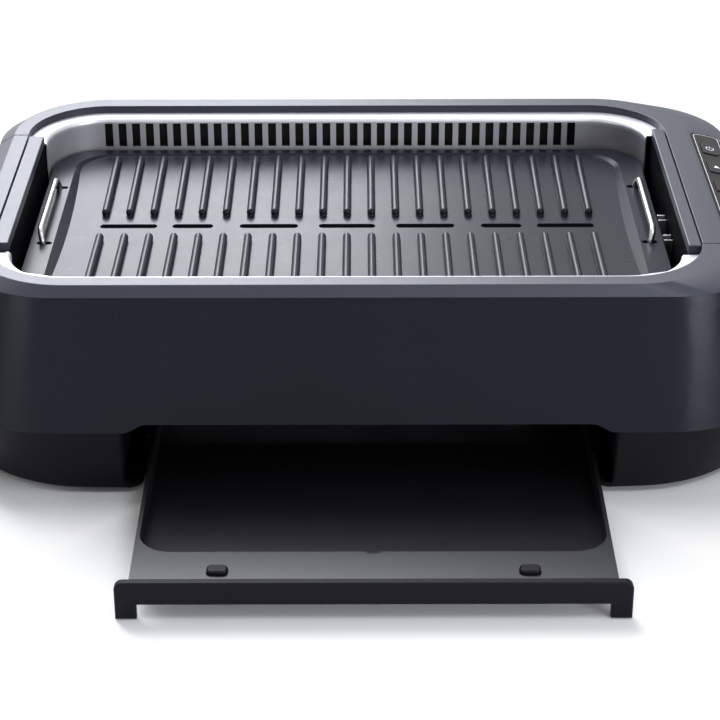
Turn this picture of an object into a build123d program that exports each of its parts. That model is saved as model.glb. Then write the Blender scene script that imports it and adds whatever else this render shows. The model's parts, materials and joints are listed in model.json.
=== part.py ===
# Smokeless electric grill: a heated ribbed plate in a silver well, over a fan and a pull-out drip tray.
# Millimetres, +Z up, floor at Z = 0. +X is the user's right, -Y is the front.
# The origin is the middle of the whole object's footprint with the tray out by tray_open.
from math import atan2, cos, radians, sin, tan
import os
from build123d import *

os.makedirs("parts", exist_ok=True)

# Body heights
foot_height = 4.0
seam_z = 48.0
housing_height = 80.0
bevel_height = 6.0

# How far each outline of the body stands out from the one above: left, right, front and rear, corner
deck_margin = (9.8, 14.2, 11.7, 11.0)
bevel_run = (10.0, 27.0, 5.8, 5.0)
wall_run = (19.0, 14.0, 19.9, 14.0)
foot_run = (-10.0, -10.0, -10.0, 10.0)
seam_step = 0.8
housing_wall = 2.8
base_wall = 3.0
base_floor = 3.0
deck_plate = 3.0

# Opening inside the rim, and the seams that part the rim's pieces
well_x = -8.2
rim_half_width = 218.0
rim_half_depth = 138.6
rim_y = -1.0
rim_radius = 50.0
left_front_inset = 48.6
left_rear_inset = 53.6
right_front_inset = 45.6
seam_gap = 0.6

# Inner bars and the side walls that hang from them
left_bar_width = 10.0
right_bar_width = 8.0
bar_groove = 0.8
bar_chamfer = 0.5
left_bar_rear_gap = 2.0
right_bar_front_reach = 3.0
right_bar_rear_inset = 44.6
side_wall = 2.0
side_wall_rise = 4.0

# Silver liner
liner_sheet = 1.0
lip_side = 12.5
lip_front = 10.6
lip_shift = 1.0
lip_corner_step = 12.0
lip_gap = 0.3
air_slots = 35
air_slot_pitch = 9.57
air_slot_width = 5.6
air_slot_shift = 5.5
air_slot_height = 17.4
air_slot_drop = 2.6
drain_half_length = 116.0
drain_front = -50.0
drain_rear = 32.0
drain_lip = 5.0
side_cut_gap = 0.6

# Grill plate
plate_sink = 20.0
plate_over_floor = 38.0
plate_ledge = 4.0
plate_side_gap = 2.5
plate_front_gap = 5.5
plate_shift = 1.5
plate_corner_step = 6.0
dish_depth = 4.5
dish_edge_depth = 1.2
dish_draft = 52.0
dish_side_border = 15.0
dish_border = 6.0
dish_radius = 26.0
pan_floor = 4.0
pan_border = 17.0
slot_line_y = 0.0
drain_slot_width = 5.0
drain_groove_depth = 2.0
through_slots = ((0.0, 37.0), (51.3, 38.3), (-51.3, 38.3), (101.2, 26.7), (-101.2, 26.7))
groove_slots = ((143.3, 37.5), (-143.3, 37.5))
ribs = 21
rib_pitch = 16.0
rib_width = 5.4
rib_height = 3.3
rib_root = 1.0
rib_draft = 17.0
rear_rib_start = 15.0
front_rib_start = 19.0
rib_end_gap = 9.0

# Wire bails
wire_radius = 1.9
bail_inset = 10.0
bail_y = 9.0
bail_span = 89.0
pivot_drop = 8.0
bail_rise = 8.0
bail_lean = 12.0
bail_fold_in = 24.0
bail_fold_out = 12.0
bail_end = 9.0
bail_corner = 8.0
bail_foot_corner = 2.4
ear_width = 4.0
ear_wall = 2.4
ear_inset = 1.0
pin_clearance = 0.05
bail_slot_gap = 0.4

# Heating element, its clips and the drop-in contacts
element_radius = 3.3
element_gap = 0.2
element_inner = 25.0
element_outer = 75.0
element_outer_inset = 31.0
element_inner_inset = 60.0
element_inner_end = 53.0
element_corner = 20.0
element_small_corner = 8.0
turn_clearance = 0.1
contact_ys = (-31.0, 0.0)
pin_radius = 3.0
pin_end_gap = 0.9
bracket_sheet = 2.0
bracket_gap = 0.4
bracket_side = 8.0
bracket_drop = 5.0
bracket_corner = 4.0
clip_sheet = 1.2
clip_width = 10.0
clip_reach = 8.0
clip_clearance = 0.1
clip_xs = (-110.0, 0.0, 110.0)
small_screw_radius = 1.5
small_screw_head = 2.8
small_screw_head_height = 1.6
fork_plate_gap = 0.6
fork_wall_gap = 0.4
fork_sheet = 1.2
fork_gap = 0.2
fork_rise = 1.0
fork_drop = 9.0
socket_height = 12.0
socket_side = 1.0
socket_reach = 9.0
socket_gap = 0.3
socket_stem = 3.0
stem_reach = 4.0
rest_radius = 7.0
rest_cap_radius = 5.0
rest_cap_height = 4.0
rest_side_inset = 9.0
rest_end_inset = 36.5
rest_gap = 0.3

# Drip tray
tray_x = 7.6
tray_half_width = 135.6
tray_wall = 2.3
tray_top_z = 24.5
tray_bottom_gap = 0.3
tray_well_length = 230.0
tray_corner = 19.0
tray_open = 125.0
flange_depth = 32.0
front_thick = 4.6
front_overhang = 8.2
front_bottom_z = 10.0
front_corner = 5.0
front_chamfer = 0.8
tongue_side_gap = 2.0
tongue_end_gap = 0.3
leg_width = 12.0
leg_gap = 0.6
tab_side_inset = 48.6
tab_width = 11.5
tab_depth = 8.0
tab_rise = 2.5
tab_gap = 0.4
tab_corner = 2.5
tab_back = 3.4
pour_radius = 4.0
pour_depth = 1.2

# Notch in the front, the tunnel behind it and the tray runners
notch_shift = 2.1
tray_side_room = 12.4
notch_rise = 5.0
notch_sweep = 15.5
notch_depth = 116.0
mouth_depth = 24.0
mouth_corner = 10.0
tunnel_wall = 2.5
tunnel_front = 9.0
tunnel_end_room = 11.0
tunnel_roof = 2.5
roof_length = 106.0
runner_gap = 0.8
runner_web = 3.0
runner_lip = 2.2
runner_lip_gap = 0.6
runner_inset = 36.0
runner_foot = 1.8

# Fan
fan_x = -8.2
fan_inset = 48.0
motor_radius = 17.0
motor_height = 14.0
motor_round = 2.0
motor_collar = 1.0
motor_collar_radius = 5.0
shaft_drop = 10.0
motor_gap = 0.3
motor_ring = 2.0
motor_ring_height = 3.0
shaft_radius = 1.5
shaft_clearance = 0.04
scroll_floor_z = 22.0
scroll_height = 28.0
scroll_wall = 1.8
scroll_start = 30.0
scroll_growth = 5.0
scroll_cut_angle = 60.0
scroll_steps = 10
scroll_ear_circle = 41.0
scroll_ear_angles = (150.0, 210.0, 330.0)
scroll_ear_width = 8.0
ear_post_radius = 4.0
ear_hole_depth = 7.0
ear_screw_depth = 6.0
shaft_hole = 2.6
exit_back = 5.5
wheel_radius = 26.0
wheel_inner = 18.0
wheel_gap = 2.0
wheel_plate = 1.6
wheel_blades = 24
blade_thick = 1.0
blade_angle = 35.0
blade_inset = 0.3
wheel_ring = 3.0
hub_radius = 6.0
hub_height = 10.0
inlet_radius = 17.5
duct_sheet = 1.5
duct_end_room = 5.0
duct_rear_gap = 2.5
duct_drop = 24.0
duct_gap = 0.3
duct_foot_half = 40.0
duct_foot_reach = 32.0
duct_foot_gap = 0.5
louvres = 9
louvre_pitch = 6.0
louvre_width = 3.2
louvre_height = 18.0
louvre_cut = 18.0
floor_vents = 5
floor_vent_pitch = 7.0
floor_vent_length = 22.0
floor_vent_width = 3.0

# Control panel and its keys
panel_shift = 1.0
panel_y = 14.0
panel_width = 20.0
panel_length = 148.0
panel_corner = 5.0
panel_sheet = 2.2
panel_gap = 0.3
panel_pocket = 10.0
pocket_over = 1.0
key_names = ("key_fan", "key_down", "key_up", "key_power")
key_pitch = 32.0
key_width = 12.0
key_length = 19.0
key_corner = 3.0
key_gap = 0.35
key_rise = 0.6
key_flange = 0.9
key_flange_height = 0.8
key_hang = 0.2
key_travel = 0.8
board_drop = 5.0
board_sheet = 1.6
board_border = 1.0
board_corner = 4.0
switch_size = 6.0
switch_clear = 0.3
post_radius = 1.6
post_inset = 3.0

# Electrics in the base
boss_height = 6.0
boss_radius = 3.5
power_board_gap = 11.0
power_board_y = -76.0
power_board_width = 60.0
power_board_length = 72.0
power_board_inset = 5.0
# Two blocks on the power board, from its middle: low X, high X, low Y, high Y, height
relay = (-24.0, -4.0, -30.0, -2.0, 17.0)
transformer = (-22.0, 4.0, 8.0, 32.0, 22.0)
# Capacitors on it: x, y, height, radius
capacitors = ((16.0, 18.0, 21.0, 6.0), (16.0, -18.0, 16.0, 5.0))
inlet_x = 120.0
inlet_width = 27.0
inlet_height = 19.0
inlet_z = 25.0
inlet_depth = 24.0
inlet_flange = 4.0
inlet_flange_sheet = 1.4
inlet_wall = 2.0
inlet_gap = 0.3
inlet_pad = 7.6
inlet_pins_at = ((-7.0, -2.0), (0.0, 2.0), (7.0, -2.0))
inlet_pin_half_width = 1.0
inlet_pin_half_height = 2.0
inlet_pin_sink = 5.0
cutout_x = 60.0
cutout_y = 62.0
cutout_radius = 8.0
cutout_height = 7.0
cutout_tab_reach = 11.0
cutout_tab_half = 3.0
cutout_tab_sheet = 1.5

# Feet and long screws
rubber_radius = 10.0
rubber_side_inset = 60.0
rubber_end_inset = 68.0
rubber_chamfer = 0.8
rubber_stem = 4.0
rubber_stem_height = 2.6
rubber_stem_gap = 0.1
post_side_inset = 31.0
post_rear_inset = 46.0
post_front_inset = 38.0
left_post_inset = 33.0
right_post_inset = 50.0
mid_post_y = -5.0
long_post_radius = 5.5
column_radius = 6.5
screw_radius = 1.7
screw_head_radius = 3.6
screw_head_gap = 0.6
screw_head_height = 2.4
screw_recess = 14.0
screw_reach = 12.0
screw_end_gap = 1.0
screw_clearance = 0.06

# A cut that has to pass right through something goes on by this much, or this far
cut_over = 1.0
far = 400.0


def grown(ring, steps):
    # Outline standing out from another: low X, high X, half depth, corner radius.
    left, right, depth, corner = steps
    return (ring[0] - left, ring[1] + right, ring[2] + depth, ring[3] + corner)


# Outlines of the body and heights, worked out from the sizes above
left_rim_x = well_x - rim_half_width
right_rim_x = well_x + rim_half_width
deck_ring = grown((left_rim_x, right_rim_x, rim_half_depth, rim_radius), deck_margin)
shoulder_ring = grown(deck_ring, bevel_run)
seam_ring = grown(shoulder_ring, wall_run)
foot_ring = grown(seam_ring, foot_run)
shoulder_z = seam_z + housing_height
deck_z = shoulder_z + bevel_height
deck_under_z = shoulder_z - deck_plate
floor_top = foot_height + base_floor

# Rim seams, bars and walls
rim_front_y = rim_y - rim_half_depth
rim_rear_y = rim_y + rim_half_depth
left_front_seam = rim_front_y + left_front_inset
left_rear_seam = rim_rear_y - left_rear_inset
right_front_seam = rim_front_y + right_front_inset
left_bar_front = left_front_seam
left_bar_rear = left_rear_seam - left_bar_rear_gap
right_bar_front = right_front_seam - right_bar_front_reach
right_bar_rear = rim_rear_y - right_bar_rear_inset
left_wall_x = left_rim_x + left_bar_width + bar_groove
right_wall_x = right_rim_x - right_bar_width - bar_groove

# Liner and plate
liner_half_width = rim_half_width - lip_side
liner_half_depth = rim_half_depth - lip_front
liner_radius = rim_radius - lip_corner_step
liner_y = rim_y - lip_shift
plate_top_z = shoulder_z - plate_sink
liner_floor_z = plate_top_z - plate_over_floor
side_wall_bottom = liner_floor_z + side_wall_rise
air_slot_top = shoulder_z - air_slot_drop
air_slot_bottom = air_slot_top - air_slot_height
plate_half_width = liner_half_width - plate_side_gap
plate_half_depth = liner_half_depth - plate_front_gap
plate_radius = liner_radius - plate_corner_step
plate_y = liner_y - plate_shift
ledge_under_z = plate_top_z - plate_ledge
dish_z = plate_top_z - dish_depth
pan_under_z = dish_z - pan_floor
bail_x = plate_half_width - bail_inset
element_z = pan_under_z - element_gap - element_radius
contact_x = well_x + plate_half_width - pan_border
pin_end_x = right_wall_x - pin_end_gap
fork_low_x = well_x + plate_half_width + fork_plate_gap
fork_high_x = right_wall_x - fork_wall_gap

# Tray and its bay
tray_face_y = -seam_ring[2] - tray_open
tray_well_front = tray_face_y + flange_depth
tray_rear = tray_well_front + tray_well_length
tray_bottom_z = floor_top + tray_bottom_gap
front_half_width = tray_half_width + front_overhang
tab_half_pitch = tray_half_width - tab_side_inset
tab_y = tray_face_y + front_thick + tab_back + tab_depth / 2
notch_x = tray_x - notch_shift
notch_half_width = tray_half_width + tray_side_room
notch_top_z = seam_z + notch_rise
tunnel_rear = tray_rear + tray_open + tunnel_end_room
body_y = tray_open / 2

# Fan, panel and electrics
fan_y = seam_ring[2] - fan_inset
louvre_x = fan_x + (scroll_start * (1 + cos(radians(scroll_cut_angle))) + scroll_growth) / 2
panel_x = (deck_ring[1] + shoulder_ring[1]) / 2 - panel_shift
key_ys = [(index - (len(key_names) - 1) / 2) * key_pitch for index in range(len(key_names))]
power_board_x = notch_x + notch_half_width + tunnel_wall + power_board_gap + power_board_width / 2
inlet_face_y = foot_ring[2] + inlet_pad
rubber_x = seam_ring[1] - rubber_side_inset
rubber_y = seam_ring[2] - rubber_end_inset


def level(height, x=0.0, y=0.0):
    # Level plane through a point given from the middle of the body.
    return Plane(origin=(x, body_y + y, height))


def across(y, x=0.0):
    # Upright plane facing the front: local x is +X, local y is the height.
    return Plane(origin=(x, body_y + y, 0), x_dir=(1, 0, 0), z_dir=(0, -1, 0))


def along(x, y=0.0):
    # Upright plane facing right: local x is +Y from the body's middle, local y is the height.
    return Plane(origin=(x, body_y + y, 0), x_dir=(0, 1, 0), z_dir=(1, 0, 0))


def between(low_ring, high_ring, share):
    # Outline part of the way up a wall from one outline to the next.
    return tuple(low + (high - low) * share for low, high in zip(low_ring, high_ring))


def outline(height, ring, inset=0.0):
    # Rounded outline of the body at one height, drawn in by inset.
    x_low, x_high, half_depth, radius = ring
    with BuildSketch(level(height, (x_low + x_high) / 2)) as ring_sketch:
        RectangleRounded(x_high - x_low - 2 * inset, 2 * (half_depth - inset), radius - inset)
    return ring_sketch.sketch.face()


def well(height, half_width, half_depth, radius, y):
    # Rounded outline about the middle of the well.
    with BuildSketch(level(height, well_x, y)) as well_sketch:
        RectangleRounded(2 * half_width, 2 * half_depth, radius)
    return well_sketch.sketch


def block(x_low, x_high, y_low, y_high, z_low, z_high, mode=Mode.ADD):
    # Straight block between two corners, Y from the body's middle.
    with BuildSketch(level(z_low, (x_low + x_high) / 2, (y_low + y_high) / 2)) as footprint:
        Rectangle(x_high - x_low, y_high - y_low)
    extrude(footprint.sketch, amount=z_high - z_low, mode=mode)


def post(x, y, z_low, z_high, radius, mode=Mode.ADD):
    # Upright round post or hole.
    with BuildSketch(level(z_low, x, y)) as round_section:
        Circle(radius)
    extrude(round_section.sketch, amount=z_high - z_low, mode=mode)


def save(piece, name):
    # Labels a finished piece and writes its STEP file.
    piece.part.label = name
    export_step(piece.part, f"parts/{name}.step")


# Panel on the slope of the right deck
panel_tilt = atan2(deck_z - shoulder_z, shoulder_ring[1] - deck_ring[1])
panel_surface_z = deck_z - (panel_x - deck_ring[1]) * tan(panel_tilt)


def panel_level(depth=0.0, along_y=0.0):
    # Plane parallel to the sloping panel, depth below its face, local y along the panel.
    return Plane(
        origin=(panel_x - depth * sin(panel_tilt), body_y + panel_y + along_y,
                panel_surface_z - depth * cos(panel_tilt)),
        x_dir=(cos(panel_tilt), 0, -sin(panel_tilt)),
        z_dir=(sin(panel_tilt), 0, cos(panel_tilt)))


def panel_hollow():
    # Pocket for the panel and its board, cut from the rim and the housing alike.
    with BuildSketch(panel_level(-pocket_over)) as pocket_outline:
        RectangleRounded(panel_width + 2 * panel_gap, panel_length + 2 * panel_gap, panel_corner)
    extrude(pocket_outline.sketch, amount=-panel_pocket - pocket_over, mode=Mode.SUBTRACT)


# Long posts and screws that hold the base to the housing
post_x = rim_half_width - post_side_inset
post_rear_y = seam_ring[2] - post_rear_inset
post_front_y = -seam_ring[2] + post_front_inset
screw_places = (
    (well_x - post_x, post_rear_y), (well_x + post_x, post_rear_y),
    (well_x - post_x, post_front_y), (well_x + post_x, post_front_y),
    (seam_ring[0] + left_post_inset, mid_post_y), (seam_ring[1] - right_post_inset, mid_post_y))
screw_top_z = seam_z + screw_reach
screw_head_z = foot_height + screw_recess


def notch():
    # Front notch over the tray: straight sides to the seam, then an S curve up to its top edge.
    flat_half = notch_half_width - notch_sweep
    with BuildSketch(across(notch_depth - seam_ring[2], notch_x)) as notch_outline:
        with BuildLine():
            Polyline((-notch_half_width, seam_z), (-notch_half_width, floor_top),
                     (notch_half_width, floor_top), (notch_half_width, seam_z))
            Spline((notch_half_width, seam_z), (flat_half, notch_top_z), tangents=((-1, 0), (-1, 0)))
            Line((flat_half, notch_top_z), (-flat_half, notch_top_z))
            Spline((-flat_half, notch_top_z), (-notch_half_width, seam_z), tangents=((-1, 0), (-1, 0)))
        make_face()
    extrude(notch_outline.sketch, amount=notch_depth + cut_over, mode=Mode.SUBTRACT)


def floor_mouth():
    # Set-back of the base floor under the tray, with a rounded corner on each side.
    half_width = notch_half_width - mouth_corner
    front_y = -foot_ring[2]
    with BuildSketch(level(foot_height, notch_x)) as mouth_outline:
        with BuildLine():
            Polyline((-half_width, front_y + mouth_corner), (-half_width, front_y + mouth_depth),
                     (half_width, front_y + mouth_depth), (half_width, front_y + mouth_corner))
            RadiusArc((half_width, front_y + mouth_corner), (notch_half_width, front_y), mouth_corner)
            Polyline((notch_half_width, front_y), (notch_half_width, -seam_ring[2]),
                     (-notch_half_width, -seam_ring[2]), (-notch_half_width, front_y))
            RadiusArc((-notch_half_width, front_y), (-half_width, front_y + mouth_corner), mouth_corner)
        make_face()
    extrude(mouth_outline.sketch, amount=base_floor, mode=Mode.SUBTRACT)


# Upper housing: one lofted shell with a deck plate, posts and the top of the notch
with BuildPart() as upper_housing:
    loft([outline(seam_z, seam_ring), outline(shoulder_z, shoulder_ring)], ruled=True)
    deck_under_ring = between(seam_ring, shoulder_ring, (deck_under_z - seam_z) / (shoulder_z - seam_z))
    loft([outline(seam_z, seam_ring, housing_wall), outline(deck_under_z, deck_under_ring, housing_wall)],
         ruled=True, mode=Mode.SUBTRACT)
    deck_opening = well(deck_under_z, liner_half_width + liner_sheet + lip_gap,
                        liner_half_depth + liner_sheet + lip_gap,
                        liner_radius + liner_sheet + lip_gap, liner_y)
    extrude(deck_opening, amount=deck_plate, mode=Mode.SUBTRACT)
    block(left_wall_x - side_wall - side_cut_gap, left_wall_x + left_bar_width,
          left_bar_front - side_cut_gap, left_bar_rear + side_cut_gap, deck_under_z, shoulder_z,
          Mode.SUBTRACT)
    block(right_wall_x - right_bar_width, right_wall_x + side_wall + side_cut_gap,
          right_bar_front - side_cut_gap, right_bar_rear + side_cut_gap, deck_under_z, shoulder_z,
          Mode.SUBTRACT)
    block(notch_x - notch_half_width, notch_x + notch_half_width, -seam_ring[2] + housing_wall,
          roof_length - seam_ring[2], notch_top_z, notch_top_z + tunnel_roof)
    notch()
    for place_x, place_y in screw_places:
        post(place_x, place_y, seam_z, deck_under_z, long_post_radius)
        post(place_x, place_y, seam_z, screw_top_z + screw_end_gap, screw_radius + screw_clearance,
             Mode.SUBTRACT)
    panel_hollow()
save(upper_housing, "upper_housing")

# Ears of the fan scroll, which stand on posts of the base
ear_places = [(fan_x + scroll_ear_circle * cos(radians(angle)),
               fan_y + scroll_ear_circle * sin(radians(angle))) for angle in scroll_ear_angles]

# Base shell: tapered tub with the tray tunnel, screw columns, louvres and floor vents
base_top_ring = (seam_ring[0] + seam_step, seam_ring[1] - seam_step, seam_ring[2] - seam_step,
                 seam_ring[3] - seam_step)
floor_share = base_floor / (seam_z - foot_height)
with BuildPart() as base_shell:
    loft([outline(foot_height, foot_ring), outline(seam_z, base_top_ring)], ruled=True)
    floor_ring = between(foot_ring, base_top_ring, floor_share)
    loft([outline(floor_top, floor_ring, base_wall), outline(seam_z, base_top_ring, base_wall)],
         ruled=True, mode=Mode.SUBTRACT)
    for wall_x in (notch_x - notch_half_width - tunnel_wall, notch_x + notch_half_width):
        block(wall_x, wall_x + tunnel_wall, -seam_ring[2] + tunnel_front, tunnel_rear, floor_top, seam_z)
    notch()
    floor_mouth()
    for place_x, place_y in screw_places:
        post(place_x, place_y, floor_top, seam_z, column_radius)
        post(place_x, place_y, foot_height, screw_head_z, screw_head_radius + screw_head_gap, Mode.SUBTRACT)
        post(place_x, place_y, foot_height, seam_z, screw_radius + screw_clearance, Mode.SUBTRACT)
    for foot_x in (-rubber_x, rubber_x):
        for foot_y in (-rubber_y, rubber_y):
            post(foot_x, foot_y, foot_height, floor_top, rubber_stem + rubber_stem_gap, Mode.SUBTRACT)
    block(inlet_x - inlet_width / 2 - inlet_flange, inlet_x + inlet_width / 2 + inlet_flange,
          foot_ring[2] - base_wall, inlet_face_y, inlet_z - inlet_height / 2 - inlet_flange,
          inlet_z + inlet_height / 2 + inlet_flange)
    block(inlet_x - inlet_width / 2 - inlet_gap, inlet_x + inlet_width / 2 + inlet_gap,
          foot_ring[2] - 2 * base_wall, inlet_face_y + cut_over, inlet_z - inlet_height / 2 - inlet_gap,
          inlet_z + inlet_height / 2 + inlet_gap, Mode.SUBTRACT)
    with BuildSketch(across(seam_ring[2] + cut_over, louvre_x)):
        with Locations((0, scroll_floor_z + scroll_height / 2)):
            with GridLocations(louvre_pitch, 1, louvres, 1):
                SlotOverall(louvre_height, louvre_width, rotation=90)
    extrude(amount=louvre_cut, mode=Mode.SUBTRACT)
    for ear_x, ear_y in ear_places:
        post(ear_x, ear_y, floor_top, scroll_floor_z, ear_post_radius)
        post(ear_x, ear_y, scroll_floor_z - ear_hole_depth, scroll_floor_z,
             small_screw_radius + pin_clearance, Mode.SUBTRACT)
    post(fan_x, fan_y, floor_top, floor_top + motor_ring_height, motor_radius + motor_gap + motor_ring)
    post(fan_x, fan_y, floor_top, floor_top + motor_ring_height, motor_radius + motor_gap, Mode.SUBTRACT)
    with BuildSketch(level(foot_height, fan_x, fan_y)):
        with GridLocations(floor_vent_pitch, 1, floor_vents, 1):
            SlotOverall(floor_vent_length, floor_vent_width, rotation=90)
    extrude(amount=base_floor, mode=Mode.SUBTRACT)
    for boss_x in (-1, 1):
        for boss_y in (-1, 1):
            post(power_board_x + boss_x * (power_board_width / 2 - power_board_inset),
                 power_board_y + boss_y * (power_board_length / 2 - power_board_inset),
                 floor_top, floor_top + boss_height, boss_radius)
save(base_shell, "base_shell")


def rim_ring():
    # The whole rim: bevelled outside, open over the well.
    loft([outline(shoulder_z, shoulder_ring), outline(deck_z, deck_ring)], ruled=True)
    extrude(well(shoulder_z, rim_half_width, rim_half_depth, rim_radius, rim_y),
            amount=deck_z - shoulder_z, mode=Mode.SUBTRACT)


with BuildPart() as front_rim_left:
    rim_ring()
    block(-far, well_x, -far, left_front_seam - seam_gap / 2, 0, far, Mode.INTERSECT)
with BuildPart() as front_rim_right:
    rim_ring()
    block(well_x, far, -far, right_front_seam - seam_gap / 2, 0, far, Mode.INTERSECT)
with BuildPart() as front_rim:
    add(front_rim_left.part)
    add(front_rim_right.part)
save(front_rim, "front_rim")

with BuildPart() as left_handle_bar:
    rim_ring()
    block(-far, well_x, left_front_seam + seam_gap / 2, left_rear_seam - seam_gap / 2, 0, far, Mode.INTERSECT)
save(left_handle_bar, "left_handle_bar")

with BuildPart() as rear_rim:
    rim_ring()
    block(-far, well_x, -far, left_rear_seam + seam_gap / 2, 0, far, Mode.SUBTRACT)
    block(well_x, far, -far, right_front_seam + seam_gap / 2, 0, far, Mode.SUBTRACT)
    panel_hollow()
save(rear_rim, "rear_rim")

# Inner bars, and the black side walls that hang from their inner edges
with BuildPart() as left_inner_bar:
    block(left_rim_x + bar_groove, left_wall_x, left_bar_front, left_bar_rear, shoulder_z, deck_z)
    chamfer(left_inner_bar.faces().sort_by(Axis.Z)[-1].edges(), bar_chamfer)
save(left_inner_bar, "left_inner_bar")
with BuildPart() as right_inner_bar:
    block(right_wall_x, right_rim_x - bar_groove, right_bar_front, right_bar_rear, shoulder_z, deck_z)
    chamfer(right_inner_bar.faces().sort_by(Axis.Z)[-1].edges(), bar_chamfer)
save(right_inner_bar, "right_inner_bar")
with BuildPart() as left_side_wall:
    block(left_wall_x - side_wall, left_wall_x, left_bar_front, left_bar_rear, side_wall_bottom, shoulder_z)
save(left_side_wall, "left_side_wall")
with BuildPart() as right_side_wall:
    block(right_wall_x, right_wall_x + side_wall, right_bar_front, right_bar_rear, side_wall_bottom,
          shoulder_z)
save(right_side_wall, "right_side_wall")

# Silver liner: a lip, a deep well with air slots at the back, and a drain with a turned-down lip
lip_top_z = shoulder_z + liner_sheet
with BuildPart() as liner:
    extrude(well(liner_floor_z - liner_sheet, liner_half_width + liner_sheet, liner_half_depth + liner_sheet,
                 liner_radius + liner_sheet, liner_y), amount=lip_top_z - liner_floor_z + liner_sheet)
    extrude(well(shoulder_z, rim_half_width - lip_gap, rim_half_depth - lip_gap, rim_radius - lip_gap, rim_y),
            amount=liner_sheet)
    block(well_x - drain_half_length - liner_sheet, well_x + drain_half_length + liner_sheet,
          drain_front - liner_sheet, drain_rear + liner_sheet, liner_floor_z - liner_sheet - drain_lip,
          liner_floor_z)
    extrude(well(liner_floor_z, liner_half_width, liner_half_depth, liner_radius, liner_y),
            amount=lip_top_z - liner_floor_z, mode=Mode.SUBTRACT)
    block(well_x - drain_half_length, well_x + drain_half_length, drain_front, drain_rear,
          liner_floor_z - 2 * drain_lip, liner_floor_z + cut_over, Mode.SUBTRACT)
    with BuildSketch(across(liner_y + liner_half_depth + liner_sheet + cut_over, well_x - air_slot_shift)):
        with Locations((0, (air_slot_bottom + air_slot_top) / 2)):
            with GridLocations(air_slot_pitch, 1, air_slots, 1):
                Rectangle(air_slot_width, air_slot_top - air_slot_bottom)
    extrude(amount=liner_sheet + 2 * cut_over, mode=Mode.SUBTRACT)
    block(-far, well_x - liner_half_width + cut_over, left_bar_front - side_cut_gap,
          left_bar_rear + side_cut_gap, side_wall_bottom, far, Mode.SUBTRACT)
    block(well_x + liner_half_width - cut_over, far, right_bar_front - side_cut_gap,
          right_bar_rear + side_cut_gap, side_wall_bottom, far, Mode.SUBTRACT)
    block(fork_low_x - socket_side - socket_gap, far, contact_ys[0] - socket_reach - socket_gap,
          contact_ys[1] + socket_reach + socket_gap, liner_floor_z - 2 * liner_sheet, far, Mode.SUBTRACT)
save(liner, "liner")

# Grill plate: a cast pan with a dished face, two rows of ribs, drain slots and a ledge for the bails
dish_half_width = plate_half_width - dish_side_border
dish_half_depth = plate_half_depth - dish_border
dish_fall = dish_depth - dish_edge_depth
dish_low_z = dish_z - cut_over
dish_low_inset = (dish_depth + cut_over) * tan(radians(dish_draft))
dish_rear_run = plate_y + dish_half_depth - slot_line_y
dish_front_run = slot_line_y - plate_y + dish_half_depth
dish_rear_y = slot_line_y + dish_rear_run
dish_front_y = slot_line_y - dish_front_run
with BuildPart() as dish_hollow:
    loft([well(dish_low_z, dish_half_width - dish_low_inset, dish_half_depth - dish_low_inset,
               dish_radius - dish_low_inset, plate_y),
          well(plate_top_z, dish_half_width, dish_half_depth, dish_radius, plate_y)], ruled=True)
    with BuildSketch(along(well_x)) as dish_section:
        with BuildLine():
            dish_floor = ThreePointArc((dish_front_y, dish_z + dish_fall), (slot_line_y, dish_z),
                                       (dish_rear_y, dish_z + dish_fall))
            Polyline(dish_floor @ 1, (dish_rear_y, plate_top_z), (dish_front_y, plate_top_z),
                     dish_floor @ 0)
        make_face()
    extrude(dish_section.sketch, amount=far, both=True, mode=Mode.INTERSECT)


def rib_row(direction, start, run):
    # Row of ribs behind (+1) or in front of (-1) the drain slots, rooted in the hollow floor under them.
    length = run - start - rib_end_gap
    start_z = dish_z + dish_fall * (start / run) ** 2
    end_z = dish_z + dish_fall * ((start + length) / run) ** 2
    slope = atan2(end_z - start_z, length)
    with BuildSketch(Plane(origin=(well_x, body_y + slot_line_y + direction * start, start_z - rib_root),
                           x_dir=(1, 0, 0), z_dir=(0, -direction * sin(slope), cos(slope)))) as row:
        with Locations((0, direction * length / 2)):
            with GridLocations(rib_pitch, 1, ribs, 1):
                SlotOverall(length, rib_width, rotation=90)
    extrude(row.sketch, amount=rib_root + rib_height, taper=rib_draft)


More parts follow.
